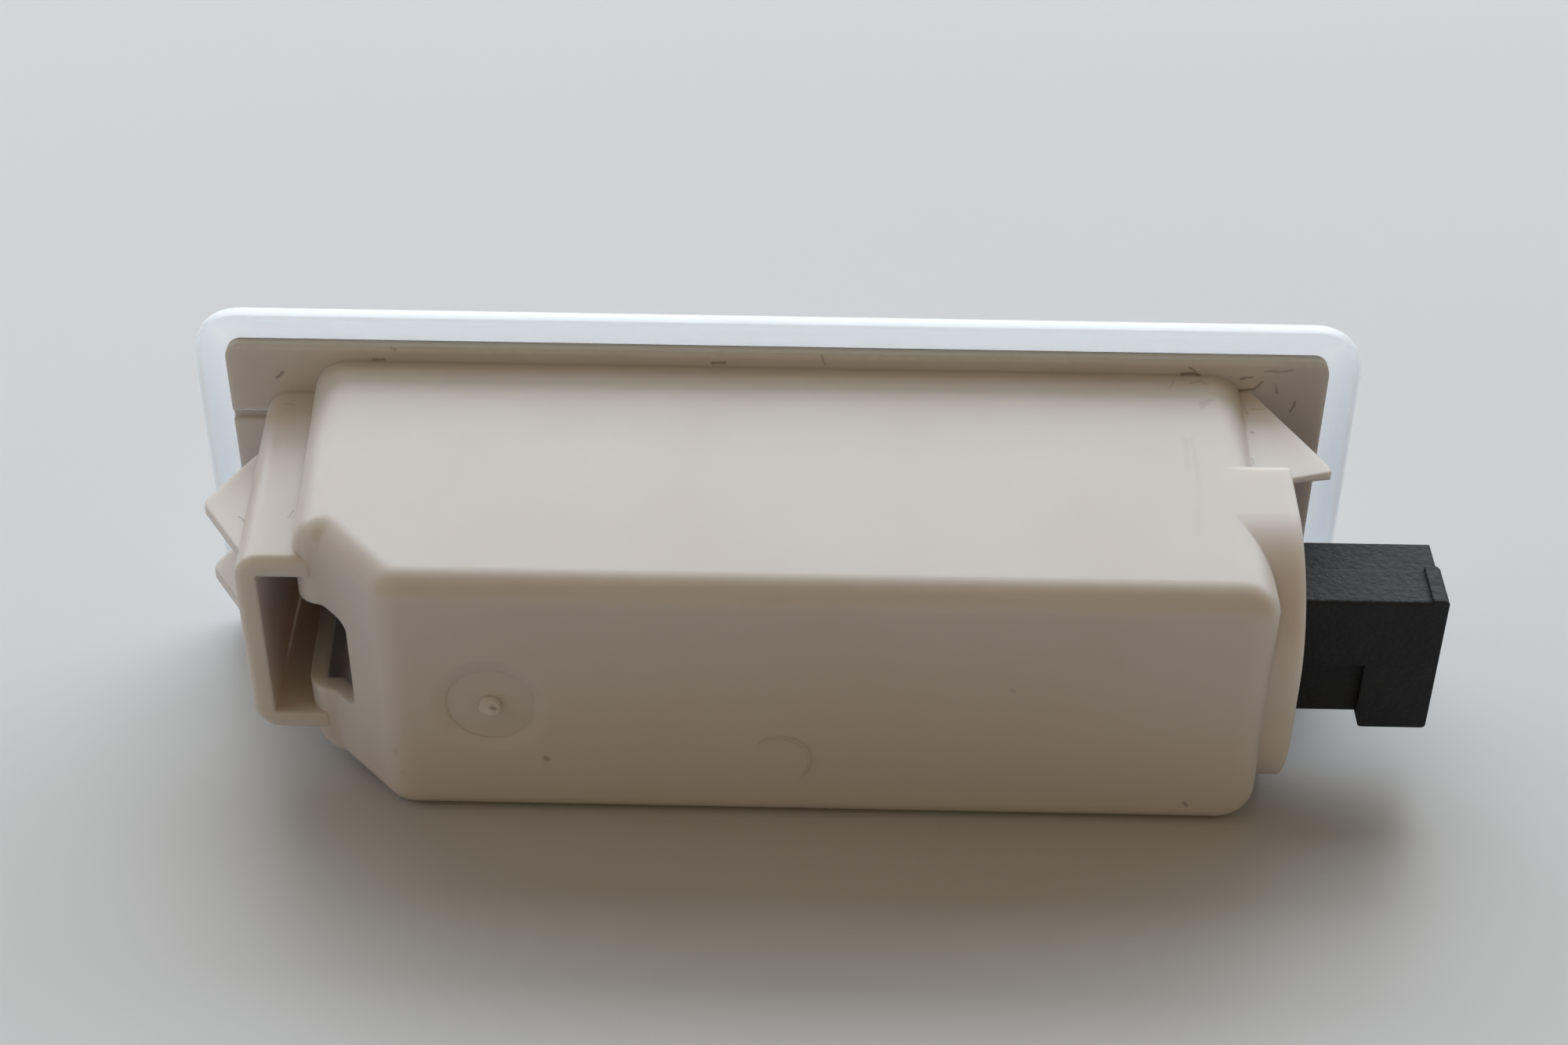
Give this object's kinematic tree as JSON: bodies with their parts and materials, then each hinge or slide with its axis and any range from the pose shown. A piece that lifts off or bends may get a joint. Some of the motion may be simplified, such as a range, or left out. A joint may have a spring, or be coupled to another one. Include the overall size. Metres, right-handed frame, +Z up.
{
  "type": "interior_light",
  "caption": "Snap-in car interior light with beige moulded housing, spring pocket, milky lens, wedge bulb and black plug-in bulb holder.",
  "frame": {"origin": "On the table, below the middle of the lamp's bounding box, with the lamp lying on the lower edge of its lens rim and of its back", "axes": "+X along the lamp towards the connector, +Y the way the lens faces (9.6 degrees above level), +Z up from the table"},
  "size_m": [0.087, 0.0297, 0.0277],
  "materials": {
    "beige_plastic": "moulded, faintly worn",
    "milky_plastic": "milky translucent",
    "black_plastic": "fine spark texture",
    "contact_brass": "tinned bare strip",
    "clear_glass": "clear",
    "lead_wire": "drawn wire"
  },
  "bodies": {
    "root": {"housing": "beige_plastic", "lens": "milky_plastic", "bulb_holder": "black_plastic", "terminal_upper": "contact_brass", "terminal_lower": "contact_brass", "bulb_glass": "clear_glass", "lead_upper": "lead_wire", "lead_lower": "lead_wire", "filament": "lead_wire"}
  },
  "joints": []
}
